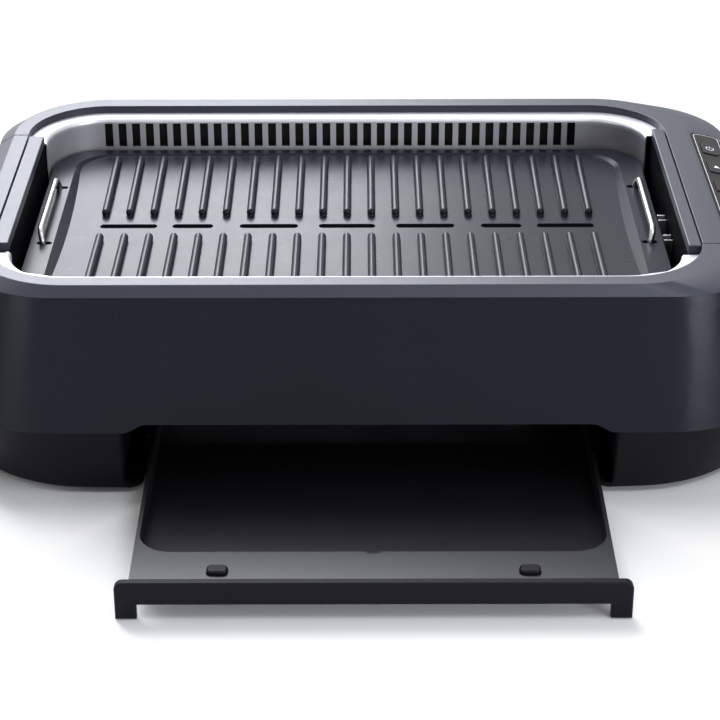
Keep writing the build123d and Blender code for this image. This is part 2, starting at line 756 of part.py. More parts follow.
pivot_z = plate_top_z - pivot_drop
leg_top = plate_top_z - pivot_z
slot_reach_out = leg_top * tan(radians(bail_lean + bail_fold_out)) + wire_radius + bail_slot_gap
slot_reach_in = leg_top * tan(radians(bail_fold_in - bail_lean)) + wire_radius + bail_slot_gap
ear_height = pivot_z - ear_wall - wire_radius
with BuildPart() as grill_plate:
    with BuildSketch(level(ledge_under_z, well_x, plate_y)):
        RectangleRounded(2 * plate_half_width, 2 * plate_half_depth, plate_radius)
    extrude(amount=plate_ledge)
    with BuildSketch(level(pan_under_z, well_x, plate_y)):
        RectangleRounded(2 * (plate_half_width - pan_border), 2 * (plate_half_depth - dish_border),
                         plate_radius - dish_border)
    extrude(amount=ledge_under_z - pan_under_z)
    add(dish_hollow.part, mode=Mode.SUBTRACT)
    rib_row(1, rear_rib_start, dish_rear_run)
    rib_row(-1, front_rib_start, dish_front_run)
    with BuildSketch(level(pan_under_z, well_x, slot_line_y)):
        for slot_x, slot_length in through_slots:
            with Locations((slot_x, 0)):
                SlotOverall(slot_length, drain_slot_width)
    extrude(amount=plate_top_z - pan_under_z, mode=Mode.SUBTRACT)
    with BuildSketch(level(dish_z - drain_groove_depth, well_x, slot_line_y)):
        for slot_x, slot_length in groove_slots:
            with Locations((slot_x, 0)):
                SlotOverall(slot_length, drain_slot_width)
    extrude(amount=dish_depth, mode=Mode.SUBTRACT)
    for side in (-1, 1):
        with BuildSketch(level(ledge_under_z, well_x, bail_y)):
            for end in (-1, 1):
                with Locations((side * (bail_x + (slot_reach_out - slot_reach_in) / 2), end * bail_span / 2)):
                    SlotOverall(slot_reach_in + slot_reach_out, 2 * (wire_radius + bail_slot_gap))
        extrude(amount=plate_ledge, mode=Mode.SUBTRACT)
        for end in (-1, 1):
            ear_y = bail_y + end * (bail_span / 2 + bail_end - ear_width / 2 - ear_inset)
            ear_x = well_x + side * bail_x
            block(ear_x - wire_radius - ear_wall, ear_x + wire_radius + ear_wall, ear_y - ear_width / 2,
                  ear_y + ear_width / 2, ear_height, ledge_under_z)
        with BuildSketch(across(bail_y + bail_span, well_x + side * bail_x)):
            with Locations((0, pivot_z)):
                Circle(wire_radius + pin_clearance)
        extrude(amount=2 * bail_span, mode=Mode.SUBTRACT)
save(grill_plate, "grill_plate")


def bail_point(side, y, height):
    # Point on a bail, height above the pivot along its lean.
    return (well_x + side * (bail_x + height * sin(radians(bail_lean))), body_y + bail_y + y,
            pivot_z + height * cos(radians(bail_lean)))


# Wire bails: each a low bent wire whose ends turn outward into the ears
bail_height = leg_top + bail_rise
half_span = bail_span / 2
with BuildPart() as left_bail:
    with BuildLine() as left_wire:
        FilletPolyline(bail_point(-1, -half_span - bail_end, 0), bail_point(-1, -half_span, 0),
                       bail_point(-1, -half_span, bail_height), bail_point(-1, half_span, bail_height),
                       bail_point(-1, half_span, 0), bail_point(-1, half_span + bail_end, 0),
                       radius=(bail_foot_corner, bail_corner, bail_corner, bail_foot_corner))
    with BuildSketch(Plane(origin=left_wire.line @ 0, z_dir=left_wire.line % 0)):
        Circle(wire_radius)
    sweep()
save(left_bail, "left_bail")
with BuildPart() as right_bail:
    with BuildLine() as right_wire:
        FilletPolyline(bail_point(1, -half_span - bail_end, 0), bail_point(1, -half_span, 0),
                       bail_point(1, -half_span, bail_height), bail_point(1, half_span, bail_height),
                       bail_point(1, half_span, 0), bail_point(1, half_span + bail_end, 0),
                       radius=(bail_foot_corner, bail_corner, bail_corner, bail_foot_corner))
    with BuildSketch(Plane(origin=right_wire.line @ 0, z_dir=right_wire.line % 0)):
        Circle(wire_radius)
    sweep()
save(right_bail, "right_bail")

# Heating element: one tube in two nested loops, its ends brought together at the contacts
rear_outer_y = body_y + slot_line_y + element_outer
rear_inner_y = body_y + slot_line_y + element_inner
front_inner_y = body_y + slot_line_y - element_inner
front_outer_y = body_y + slot_line_y - element_outer
front_contact_y = body_y + contact_ys[0]
rear_contact_y = body_y + contact_ys[1]
outer_left_x = well_x - plate_half_width + element_outer_inset
outer_right_x = well_x + plate_half_width - element_outer_inset
inner_left_x = well_x - plate_half_width + element_inner_inset
inner_right_x = well_x + plate_half_width - element_inner_end
inner_turn_radius = (element_outer - element_inner) / 2 - turn_clearance
with BuildPart() as heating_element:
    with BuildLine() as element_path:
        FilletPolyline(
            (contact_x, front_contact_y, element_z), (outer_right_x, front_contact_y, element_z),
            (outer_right_x, front_outer_y, element_z), (outer_left_x, front_outer_y, element_z),
            (outer_left_x, rear_outer_y, element_z), (outer_right_x, rear_outer_y, element_z),
            (outer_right_x, rear_inner_y, element_z), (inner_left_x, rear_inner_y, element_z),
            (inner_left_x, front_inner_y, element_z), (inner_right_x, front_inner_y, element_z),
            (inner_right_x, rear_contact_y, element_z), (contact_x, rear_contact_y, element_z),
            radius=(element_small_corner, element_corner, element_corner, element_corner,
                    inner_turn_radius, inner_turn_radius, element_corner, element_corner,
                    element_small_corner, element_small_corner))
    with BuildSketch(Plane(origin=element_path.line @ 0, z_dir=element_path.line % 0)):
        Circle(element_radius)
    sweep()
save(heating_element, "heating_element")

with BuildPart() as terminal_pins:
    for contact_y in contact_ys:
        with BuildSketch(along(contact_x)):
            with Locations((contact_y, element_z)):
                Circle(pin_radius)
        extrude(amount=pin_end_x - contact_x)
save(terminal_pins, "terminal_pins")

bracket_middle = (contact_ys[0] + contact_ys[1]) / 2
bracket_length = contact_ys[1] - contact_ys[0] + 2 * bracket_side
bracket_bottom_z = element_z - bracket_drop
with BuildPart() as terminal_bracket:
    with BuildSketch(along(contact_x + bracket_gap)):
        with Locations((bracket_middle, (bracket_bottom_z + ledge_under_z) / 2)):
            Rectangle(bracket_length, ledge_under_z - bracket_bottom_z)
        with Locations(*[(contact_y, element_z) for contact_y in contact_ys]):
            Circle(pin_radius + pin_clearance, mode=Mode.SUBTRACT)
    extrude(amount=bracket_sheet)
    fillet(terminal_bracket.edges().filter_by(Axis.X).group_by(Axis.Z)[0], bracket_corner)
save(terminal_bracket, "terminal_bracket")

# Clips that hold the element's long runs to the pan, with their screws
clip_ys = (slot_line_y + element_outer, slot_line_y + element_inner, slot_line_y - element_inner,
           slot_line_y - element_outer)
clip_inner = element_radius + clip_clearance
clip_outer = clip_inner + clip_sheet
clip_foot = clip_outer + clip_reach / 2
with BuildPart() as element_clips:
    for clip_x in clip_xs:
        for clip_y in clip_ys:
            with BuildSketch(along(well_x + clip_x)):
                with Locations((clip_y, element_z)):
                    Rectangle(2 * clip_outer, 2 * clip_outer)
                    Circle(clip_inner, mode=Mode.SUBTRACT)
                with Locations((clip_y, element_z + element_radius)):
                    Rectangle(2 * clip_inner, 2 * element_radius, mode=Mode.SUBTRACT)
                with Locations((clip_y, pan_under_z + clip_reach / 2)):
                    Rectangle(4 * clip_outer, clip_reach, mode=Mode.SUBTRACT)
                with Locations((clip_y - clip_foot, pan_under_z - clip_sheet / 2)):
                    Rectangle(clip_reach, clip_sheet)
            extrude(amount=clip_width / 2, both=True)
            post(well_x + clip_x, clip_y - clip_foot, pan_under_z - 3 * clip_sheet, pan_under_z,
                 small_screw_radius + pin_clearance, Mode.SUBTRACT)
save(element_clips, "element_clips")
with BuildPart() as clip_screws:
    for clip_x in clip_xs:
        for clip_y in clip_ys:
            post(well_x + clip_x, clip_y - clip_foot, pan_under_z - clip_sheet - small_screw_head_height,
                 pan_under_z - clip_sheet, small_screw_head)
            post(well_x + clip_x, clip_y - clip_foot, pan_under_z - clip_sheet, pan_under_z,
                 small_screw_radius)
save(clip_screws, "clip_screws")

# Drop-in contacts: two open forks on a socket block that stands on the base beside the well
fork_floor = element_z - pin_radius - fork_gap
fork_top_z = plate_top_z + fork_rise
socket_top = fork_floor - fork_drop
stem_x = (fork_low_x + right_wall_x) / 2
with BuildPart() as contact_forks:
    for contact_y in contact_ys:
        with BuildSketch(along(fork_low_x)):
            with Locations((contact_y, (fork_floor - fork_sheet + fork_top_z) / 2)):
                Rectangle(2 * (pin_radius + fork_gap + fork_sheet), fork_top_z - fork_floor + fork_sheet)
            with Locations((contact_y, (fork_floor + fork_top_z) / 2)):
                Rectangle(2 * (pin_radius + fork_gap), fork_top_z - fork_floor, mode=Mode.SUBTRACT)
            with Locations((contact_y, (socket_top + fork_floor - fork_sheet) / 2)):
                Rectangle(2 * fork_sheet, fork_floor - fork_sheet - socket_top)
        extrude(amount=fork_high_x - fork_low_x)
save(contact_forks, "contact_forks")
with BuildPart() as terminal_socket:
    block(fork_low_x - socket_side, right_wall_x, contact_ys[0] - socket_reach,
          contact_ys[1] + socket_reach, socket_top - socket_height, socket_top)
    block(stem_x - socket_stem, stem_x + socket_stem, contact_ys[0] - stem_reach,
          contact_ys[1] + stem_reach, floor_top, socket_top - socket_height)
save(terminal_socket, "terminal_socket")

# Four rests on the liner floor that carry the plate's ledge
rest_x = plate_half_width - rest_side_inset
rest_y = plate_half_depth - rest_end_inset
rest_top_z = ledge_under_z - rest_gap
with BuildPart() as plate_rests:
    for side in (-1, 1):
        for end in (-1, 1):
            post(well_x + side * rest_x, plate_y + end * rest_y, liner_floor_z, rest_top_z - rest_cap_height,
                 rest_radius)
            post(well_x + side * rest_x, plate_y + end * rest_y, rest_top_z - rest_cap_height, rest_top_z,
                 rest_cap_radius)
save(plate_rests, "plate_rests")

# Drip tray: a shallow basin with a flange, and a front that clips to it with two tabs
with BuildPart() as drip_tray:
    with BuildSketch(level(tray_bottom_z, tray_x, (tray_well_front + tray_rear) / 2)):
        RectangleRounded(2 * tray_half_width, tray_well_length + 2 * tray_wall, tray_corner + tray_wall)
    extrude(amount=tray_top_z - tray_bottom_z)
    block(tray_x - tray_half_width, tray_x + tray_half_width, tray_face_y + front_thick,
          tray_well_front + tray_corner, tray_top_z - tray_wall, tray_top_z)
    with BuildSketch(level(tray_bottom_z + tray_wall, tray_x, (tray_well_front + tray_rear) / 2)):
        RectangleRounded(2 * (tray_half_width - tray_wall), tray_well_length, tray_corner)
    extrude(amount=tray_top_z - tray_bottom_z, mode=Mode.SUBTRACT)
    with BuildSketch(level(tray_top_z - tray_wall, tray_x, tab_y)):
        with GridLocations(2 * tab_half_pitch, 1, 2, 1):
            RectangleRounded(tab_width + 2 * tab_gap, tab_depth + 2 * tab_gap, tab_corner)
    extrude(amount=tray_wall, mode=Mode.SUBTRACT)
    post(tray_x, tray_well_front, tray_top_z - pour_depth, tray_top_z, pour_radius, Mode.SUBTRACT)
save(drip_tray, "drip_tray")

tongue_top = tray_top_z - tray_wall
with BuildPart() as tray_front:
    with BuildSketch(across(tray_face_y + front_thick, tray_x)) as front_outline:
        with Locations((0, (leg_gap + tray_top_z) / 2)):
            Rectangle(2 * front_half_width, tray_top_z - leg_gap)
        fillet(front_outline.vertices().group_by(Axis.Y)[-1], front_corner)
        with Locations((0, (leg_gap + front_bottom_z) / 2)):
            Rectangle(2 * (front_half_width - leg_width), front_bottom_z - leg_gap, mode=Mode.SUBTRACT)
    extrude(amount=front_thick)
    chamfer(tray_front.faces().sort_by(Axis.Y)[0].edges(), front_chamfer)
    block(tray_x - tray_half_width + tongue_side_gap, tray_x + tray_half_width - tongue_side_gap,
          tray_face_y + front_thick, tray_well_front - tray_wall - tongue_end_gap, tongue_top - tray_wall,
          tongue_top)
    with BuildSketch(level(tongue_top, tray_x, tab_y)):
        with GridLocations(2 * tab_half_pitch, 1, 2, 1):
            RectangleRounded(tab_width, tab_depth, tab_corner)
    extrude(amount=tray_wall + tab_rise)
    chamfer(tray_front.faces().filter_by(Axis.Z).sort_by(Axis.Z)[-2:].edges(), front_chamfer)
save(tray_front, "tray_front")

# Runners: one angle on each side of the tunnel, its lip over the tray's wall
def runner(side):
    # Upright web beside the tray, a foot out to the tunnel wall and a lip in over the tray.
    web_x = tray_x + side * (tray_half_width + runner_gap)
    wall_x = notch_x + side * notch_half_width
    lip_z = tray_top_z + runner_lip_gap
    reach = web_x - side * runner_lip
    web_out = web_x + side * runner_web
    front_y = -seam_ring[2] + runner_inset
    block(min(web_x, web_out), max(web_x, web_out), front_y, tunnel_rear, floor_top, lip_z + runner_foot)
    block(min(web_x, wall_x), max(web_x, wall_x), front_y, tunnel_rear, floor_top, floor_top + runner_foot)
    block(min(web_x, reach), max(web_x, reach), front_y, tunnel_rear, lip_z, lip_z + runner_foot)


with BuildPart() as left_runner:
    runner(-1)
save(left_runner, "left_runner")
with BuildPart() as right_runner:
    runner(1)
save(right_runner, "right_runner")

# Fan: motor on the base floor, scroll over it, wheel in the scroll and a duct from the air slots
scroll_top_z = scroll_floor_z + scroll_height
motor_top_z = floor_top + motor_height
with BuildPart() as fan_motor:
    post(fan_x, fan_y, floor_top, motor_top_z, motor_radius)
    fillet(fan_motor.edges().filter_by(GeomType.CIRCLE).group_by(Axis.Z)[-1], motor_round)
    post(fan_x, fan_y, motor_top_z, motor_top_z + motor_collar, motor_collar_radius)
    post(fan_x, fan_y, motor_top_z + motor_collar, scroll_top_z - shaft_drop, shaft_radius)
save(fan_motor, "fan_motor")

exit_low_x = scroll_start * cos(radians(scroll_cut_angle))
exit_high_x = scroll_start + scroll_growth
exit_end_y = seam_ring[2] - seam_step - base_wall - exit_back


def scroll_outline(height, inset, reach):
    # Volute whose radius grows evenly with the angle, with a straight exit to the rear.
    shares = [step / scroll_steps for step in range(scroll_steps + 1)]
    turns = [radians(scroll_cut_angle + (360 - scroll_cut_angle) * share) for share in shares]
    radii = [scroll_start - inset + scroll_growth * share for share in shares]
    spiral = [(radius * cos(turn), radius * sin(turn)) for turn, radius in zip(turns, radii)]
    with BuildSketch(level(height, fan_x, fan_y)) as volute:
        with BuildLine():
            Spline(*spiral)
            Line(spiral[-1], spiral[0])
        make_face()
        with Locations(((exit_low_x + exit_high_x) / 2, reach / 2)):
            Rectangle(exit_high_x - exit_low_x - 2 * inset, reach)
    return volute.sketch


with BuildPart() as fan_scroll:
    extrude(scroll_outline(scroll_floor_z, 0, exit_end_y - fan_y), amount=scroll_height)
    for angle in scroll_ear_angles:
        with BuildSketch(level(scroll_floor_z, fan_x, fan_y)) as ear:
            with Locations((scroll_start * cos(radians(angle)), scroll_start * sin(radians(angle)))):
                SlotCenterToCenter(2 * (scroll_ear_circle - scroll_start), scroll_ear_width, rotation=angle)
        extrude(ear.sketch, amount=2 * scroll_wall)
    extrude(scroll_outline(scroll_floor_z + scroll_wall, scroll_wall, exit_end_y - fan_y + cut_over),
            amount=scroll_height - 2 * scroll_wall, mode=Mode.SUBTRACT)
    post(fan_x, fan_y, scroll_floor_z, scroll_floor_z + scroll_wall, shaft_hole, Mode.SUBTRACT)
    post(fan_x, fan_y, scroll_top_z - scroll_wall, scroll_top_z, inlet_radius, Mode.SUBTRACT)
    for ear_x, ear_y in ear_places:
        post(ear_x, ear_y, scroll_floor_z, scroll_top_z, small_screw_radius + pin_clearance, Mode.SUBTRACT)
        post(ear_x, ear_y, scroll_floor_z + 2 * scroll_wall, scroll_top_z,
             small_screw_head + screw_head_gap, Mode.SUBTRACT)
save(fan_scroll, "fan_scroll")
with BuildPart() as fan_screws:
    for ear_x, ear_y in ear_places:
        post(ear_x, ear_y, scroll_floor_z + 2 * scroll_wall,
             scroll_floor_z + 2 * scroll_wall + small_screw_head_height, small_screw_head)
        post(ear_x, ear_y, scroll_floor_z - ear_screw_depth, scroll_floor_z + 2 * scroll_wall,
             small_screw_radius)
save(fan_screws, "fan_screws")

wheel_low_z = scroll_floor_z + scroll_wall + wheel_gap
wheel_high_z = scroll_top_z - scroll_wall - wheel_gap
with BuildPart() as fan_wheel:
    post(fan_x, fan_y, wheel_low_z, wheel_low_z + wheel_plate, wheel_radius)
    post(fan_x, fan_y, wheel_low_z, wheel_low_z + hub_height, hub_radius)
    with BuildSketch(level(wheel_low_z, fan_x, fan_y)):
        with PolarLocations((wheel_inner + wheel_radius) / 2 - blade_inset, wheel_blades):
            Rectangle(wheel_radius - wheel_inner, blade_thick, rotation=blade_angle)
    extrude(amount=wheel_high_z - wheel_low_z)
    with BuildSketch(level(wheel_high_z - wheel_plate, fan_x, fan_y)):
        Circle(wheel_radius)
        Circle(wheel_radius - wheel_ring, mode=Mode.SUBTRACT)
    extrude(amount=wheel_plate)
    post(fan_x, fan_y, wheel_low_z, wheel_high_z, shaft_radius + shaft_clearance, Mode.SUBTRACT)
save(fan_wheel, "fan_wheel")

# Smoke duct: a flat channel behind the air slots, open to them, with a foot over the fan's inlet
duct_front_y = liner_y + liner_half_depth + liner_sheet + duct_gap
duct_rear_y = shoulder_ring[2] - housing_wall - duct_rear_gap
duct_half_width = air_slots * air_slot_pitch / 2 + duct_end_room
duct_low_x = well_x - air_slot_shift - duct_half_width
duct_high_x = well_x - air_slot_shift + duct_half_width
duct_foot_low_x = fan_x - duct_foot_half
duct_foot_high_x = fan_x + duct_foot_half
duct_bottom_z = air_slot_bottom - duct_drop
duct_foot_front = fan_y - duct_foot_reach
duct_top_z = deck_under_z
foot_top_z = liner_floor_z - liner_sheet - duct_foot_gap
with BuildPart() as smoke_duct:
    block(duct_low_x, duct_high_x, duct_front_y, duct_rear_y, duct_bottom_z, duct_top_z)
    block(duct_foot_low_x, duct_foot_high_x, duct_front_y, duct_rear_y, scroll_top_z, duct_bottom_z)
    block(duct_foot_low_x, duct_foot_high_x, duct_foot_front, duct_rear_y, scroll_top_z, foot_top_z)
    block(duct_low_x + duct_sheet, duct_high_x - duct_sheet, duct_front_y + duct_sheet,
          duct_rear_y - duct_sheet, duct_bottom_z + duct_sheet, duct_top_z, Mode.SUBTRACT)
    block(duct_low_x + duct_sheet, duct_high_x - duct_sheet, duct_front_y, duct_front_y + duct_sheet,
          air_slot_bottom, duct_top_z, Mode.SUBTRACT)
    block(duct_foot_low_x + duct_sheet, duct_foot_high_x - duct_sheet, duct_front_y + duct_sheet,
          duct_rear_y - duct_sheet, scroll_top_z + duct_sheet, duct_bottom_z + duct_sheet, Mode.SUBTRACT)
    block(duct_foot_low_x + duct_sheet, duct_foot_high_x - duct_sheet, duct_foot_front + duct_sheet,
          duct_rear_y - duct_sheet, scroll_top_z + duct_sheet, foot_top_z - duct_sheet, Mode.SUBTRACT)
    post(fan_x, fan_y, scroll_top_z, scroll_top_z + duct_sheet, inlet_radius, Mode.SUBTRACT)
save(smoke_duct, "smoke_duct")

# Control panel: a thin plate on the slope with a window for each key, and posts down to its board
with BuildPart() as control_panel:
    with BuildSketch(panel_level(panel_sheet)):
        RectangleRounded(panel_width, panel_length, panel_corner)
        with Locations(*[(0, key_y) for key_y in key_ys]):
            RectangleRounded(key_width, key_length, key_corner, mode=Mode.SUBTRACT)
    extrude(amount=panel_sheet)
    with BuildSketch(panel_level(panel_sheet)):
        with GridLocations(panel_width - 2 * post_inset, panel_length - 2 * post_inset, 2, 2):
            Circle(post_radius)
    extrude(amount=-board_drop)
save(control_panel, "control_panel")

with BuildPart() as control_board:
    with BuildSketch(panel_level(panel_sheet + board_drop)):
        RectangleRounded(panel_width - 2 * board_border, panel_length - 2 * board_border, board_corner)
    extrude(amount=-board_sheet)
    with BuildSketch(panel_level(panel_sheet + board_drop)):
        with Locations(*[(0, key_y) for key_y in key_ys]):
            Rectangle(switch_size, switch_size)
    extrude(amount=board_drop - key_hang - key_flange_height - key_travel - switch_clear)
save(control_board, "control_board")

for key_name, key_y in zip(key_names, key_ys):
    with BuildPart() as key:
        with BuildSketch(panel_level(panel_sheet + key_hang, key_y)):
            Rectangle(key_width + 2 * key_flange, key_length + 2 * key_flange)
        extrude(amount=-key_flange_height)
        with BuildSketch(panel_level(panel_sheet + key_hang, key_y)):
            RectangleRounded(key_width - 2 * key_gap, key_length - 2 * key_gap, key_corner - key_gap)
        extrude(amount=panel_sheet + key_hang + key_rise)
    save(key, key_name)

# Power board on four bosses, with a relay, a transformer and a capacitor
board_z = floor_top + boss_height
with BuildPart() as power_board:
    block(power_board_x - power_board_width / 2, power_board_x + power_board_width / 2,
          power_board_y - power_board_length / 2, power_board_y + power_board_length / 2, board_z,
          board_z + board_sheet)
    for part_low_x, part_high_x, part_low_y, part_high_y, part_height in (relay, transformer):
        block(power_board_x + part_low_x, power_board_x + part_high_x, power_board_y + part_low_y,
              power_board_y + part_high_y, board_z, board_z + part_height)
    for part_x, part_y, part_height, part_radius in capacitors:
        post(power_board_x + part_x, power_board_y + part_y, board_z, board_z + part_height, part_radius)
save(power_board, "power_board")

# Power inlet at the rear: a flanged cup with three flat pins
inlet_front_y = inlet_face_y + inlet_flange_sheet
with BuildPart() as power_inlet:
    block(inlet_x - inlet_width / 2 - inlet_flange, inlet_x + inlet_width / 2 + inlet_flange, inlet_face_y,
          inlet_front_y, inlet_z - inlet_height / 2 - inlet_flange, inlet_z + inlet_height / 2 + inlet_flange)
    block(inlet_x - inlet_width / 2, inlet_x + inlet_width / 2, inlet_face_y - inlet_depth, inlet_face_y,
          inlet_z - inlet_height / 2, inlet_z + inlet_height / 2)
    block(inlet_x - inlet_width / 2 + inlet_wall, inlet_x + inlet_width / 2 - inlet_wall,
          inlet_face_y - inlet_depth + inlet_wall, inlet_front_y, inlet_z - inlet_height / 2 + inlet_wall,
          inlet_z + inlet_height / 2 - inlet_wall, Mode.SUBTRACT)
save(power_inlet, "power_inlet")
with BuildPart() as inlet_pins:
    for pin_x, pin_z in inlet_pins_at:
        block(inlet_x + pin_x - inlet_pin_half_width, inlet_x + pin_x + inlet_pin_half_width,
              inlet_face_y - inlet_depth + inlet_wall, inlet_face_y - inlet_pin_sink,
              inlet_z + pin_z - inlet_pin_half_height, inlet_z + pin_z + inlet_pin_half_height)
save(inlet_pins, "inlet_pins")

# Thermal cut-out under the liner floor, beside the drain
with BuildPart() as thermal_cutout:
    post(cutout_x, cutout_y, liner_floor_z - liner_sheet - cutout_height, liner_floor_z - liner_sheet,
         cutout_radius)
    block(cutout_x - cutout_tab_reach, cutout_x + cutout_tab_reach, cutout_y - cutout_tab_half,
          cutout_y + cutout_tab_half, liner_floor_z - liner_sheet - cutout_tab_sheet,
          liner_floor_z - liner_sheet)
save(thermal_cutout, "thermal_cutout")

# Rubber feet and the long screws
with BuildPart() as rubber_feet:
    for foot_x in (-rubber_x, rubber_x):
        for foot_y in (-rubber_y, rubber_y):
            post(foot_x, foot_y, 0, foot_height, rubber_radius)
            post(foot_x, foot_y, foot_height, foot_height + rubber_stem_height, rubber_stem)
    chamfer(rubber_feet.edges().filter_by(GeomType.CIRCLE).group_by(Axis.Z)[0], rubber_chamfer)
save(rubber_feet, "rubber_feet")
with BuildPart() as base_screws:
    for place_x, place_y in screw_places:
        post(place_x, place_y, screw_head_z - screw_head_height, screw_head_z, screw_head_radius)
        post(place_x, place_y, screw_head_z, screw_top_z, screw_radius)
save(base_screws, "base_screws")
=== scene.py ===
from math import atan2, pi, radians, tan

import bmesh
import bpy
from mathutils import Matrix, Vector
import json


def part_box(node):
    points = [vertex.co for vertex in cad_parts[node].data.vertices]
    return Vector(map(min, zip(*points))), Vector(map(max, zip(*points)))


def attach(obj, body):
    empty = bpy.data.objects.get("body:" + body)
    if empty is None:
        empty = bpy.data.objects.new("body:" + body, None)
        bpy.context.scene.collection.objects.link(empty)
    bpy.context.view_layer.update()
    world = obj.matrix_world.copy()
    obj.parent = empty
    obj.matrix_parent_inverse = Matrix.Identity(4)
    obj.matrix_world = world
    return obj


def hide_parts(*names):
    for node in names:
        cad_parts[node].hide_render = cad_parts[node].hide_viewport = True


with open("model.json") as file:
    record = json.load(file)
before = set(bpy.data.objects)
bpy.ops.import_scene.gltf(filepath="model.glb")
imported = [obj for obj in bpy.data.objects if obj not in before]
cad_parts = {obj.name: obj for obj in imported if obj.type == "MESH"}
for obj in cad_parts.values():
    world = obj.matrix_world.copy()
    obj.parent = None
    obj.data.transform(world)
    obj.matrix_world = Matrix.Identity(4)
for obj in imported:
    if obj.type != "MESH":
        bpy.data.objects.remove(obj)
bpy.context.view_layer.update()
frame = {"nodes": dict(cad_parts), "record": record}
mm = 0.001
scene = bpy.context.scene

# Middle of the grill's body in depth, and of its plate in width: the plate, liner and panel
# are placed from them
housingLow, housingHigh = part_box("upper_housing")
bodyY = (housingLow.y + housingHigh.y) / 2
plateLow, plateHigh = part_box("grill_plate")
wellX = (plateLow.x + plateHigh.x) / 2
print("stage: frame loaded,", len(frame["nodes"]), "nodes")


# Shader maths on sockets

class Wire:
    def __init__(self, tree, socket):
        self.tree = tree
        self.socket = socket

    def math(self, operation, first, second=None):
        node = self.tree.nodes.new("ShaderNodeMath")
        node.operation = operation
        for index, value in enumerate((first, second)):
            if value is None:
                continue
            if isinstance(value, Wire):
                self.tree.links.new(value.socket, node.inputs[index])
            else:
                node.inputs[index].default_value = value
        return Wire(self.tree, node.outputs[0])

    def __add__(self, other):
        return self.math("ADD", self, other)

    __radd__ = __add__

    def __sub__(self, other):
        return self.math("SUBTRACT", self, other)

    def __rsub__(self, other):
        return self.math("SUBTRACT", other, self)

    def __mul__(self, other):
        return self.math("MULTIPLY", self, other)

    __rmul__ = __mul__

    def absolute(self):
        return self.math("ABSOLUTE", self)

    def atLeast(self, other):
        return self.math("MAXIMUM", self, other)

    def atMost(self, other):
        return self.math("MINIMUM", self, other)

    def clamped(self):
        return self.atLeast(0.0).atMost(1.0)


class Finish:
    def __init__(self, name):
        self.material = bpy.data.materials.new(name)
        self.material.use_nodes = True
        self.tree = self.material.node_tree
        self.shader = self.tree.nodes["Principled BSDF"]
        self.place = self.node("TexCoord").outputs["Object"]

    def node(self, kind, settings=None, **values):
        made = self.tree.nodes.new("ShaderNode" + kind)
        for key, value in (settings or {}).items():
            setattr(made, key, value)
        for key, value in values.items():
            target = made.inputs[key.replace("_", " ")]
            if isinstance(value, Wire):
                self.tree.links.new(value.socket, target)
            elif isinstance(value, bpy.types.NodeSocket):
                self.tree.links.new(value, target)
            else:
                target.default_value = value
        return made

    def noise(self, scale, detail=3.0, roughness=0.55, stretch=(1, 1, 1)):
        mapping = self.node("Mapping", Vector=self.place, Scale=stretch)
        texture = self.node("TexNoise", Vector=mapping.outputs[0], Scale=scale, Detail=detail,
                            Roughness=roughness)
        return Wire(self.tree, texture.outputs["Factor" if "Factor" in texture.outputs else "Fac"])

    def axis(self, name):
        parts = self.node("SeparateXYZ", Vector=self.place)
        return Wire(self.tree, parts.outputs[name])

    def mixed(self, factor, low, high):
        blend = self.node("Mix", {"data_type": "RGBA"})
        self.tree.links.new(factor.socket, blend.inputs[0])
        for value, target in ((low, blend.inputs[6]), (high, blend.inputs[7])):
            if isinstance(value, bpy.types.NodeSocket):
                self.tree.links.new(value, target)
            else:
                target.default_value = (*value, 1)
        return blend.outputs[2]

    def span(self, factor, low, high):
        return factor * (high - low) + low

    def relief(self, height, distance):
        bump = self.node("Bump", Height=height, Distance=distance, Strength=1.0)
        self.tree.links.new(bump.outputs[0], self.shader.inputs["Normal"])

    def colour(self, socket):
        self.tree.links.new(socket, self.shader.inputs["Base Color"])

    def rough(self, wire):
        self.tree.links.new(wire.socket, self.shader.inputs["Roughness"])

    def fixed(self, **values):
        for key, value in values.items():
            self.shader.inputs[key.replace("_", " ")].default_value = value


# Finishes: two colours that drift into each other, the range of roughness, the metal share,
# the specular level, and the relief's height in metres. Moulded ones have a grain, brushed ones a stretch.

housingLook = {"dark": (0.0040, 0.0054, 0.0100), "light": (0.0066, 0.0084, 0.0142),
               "rough": (0.22, 0.30), "grain": 1500, "metallic": 0.1, "shine": 0.17, "depth": 0.000006}
rimLook = {"dark": (0.016, 0.019, 0.030), "light": (0.025, 0.029, 0.042),
           "rough": (0.38, 0.46), "grain": 1900, "metallic": 0.15, "shine": 0.42, "depth": 0.00002}
shellLook = {"dark": (0.0022, 0.0022, 0.0034), "light": (0.004, 0.004, 0.0056),
             "rough": (0.44, 0.54), "grain": 1300, "metallic": 0.0, "shine": 0.11, "depth": 0.00004}
wallLook = {"dark": (0.0010, 0.0010, 0.0018), "light": (0.002, 0.002, 0.003),
            "rough": (0.6, 0.7), "grain": 1300, "metallic": 0.0, "shine": 0.02, "depth": 0.00004}
trayLook = {"dark": (0.0008, 0.0008, 0.0016), "light": (0.0015, 0.0015, 0.0026),
            "rough": (0.36, 0.44), "grain": 900, "metallic": 0.0, "shine": 0.5, "depth": 0.00002}
frontLook = {"dark": (0.0028, 0.0028, 0.004), "light": (0.0045, 0.0045, 0.006),
             "rough": (0.40, 0.50), "grain": 900, "metallic": 0.0, "shine": 0.13, "depth": 0.00002}
plateLook = {"dark": (0.006, 0.0075, 0.0135), "light": (0.0105, 0.0125, 0.0205),
             "rough": (0.25, 0.32), "grain": 2200, "metallic": 0.0, "shine": 0.14, "depth": 0.00002}
innerLook = {"dark": (0.005, 0.005, 0.006), "light": (0.009, 0.009, 0.010),
             "rough": (0.55, 0.65), "grain": 1400, "metallic": 0.0, "shine": 0.2, "depth": 0.00002}
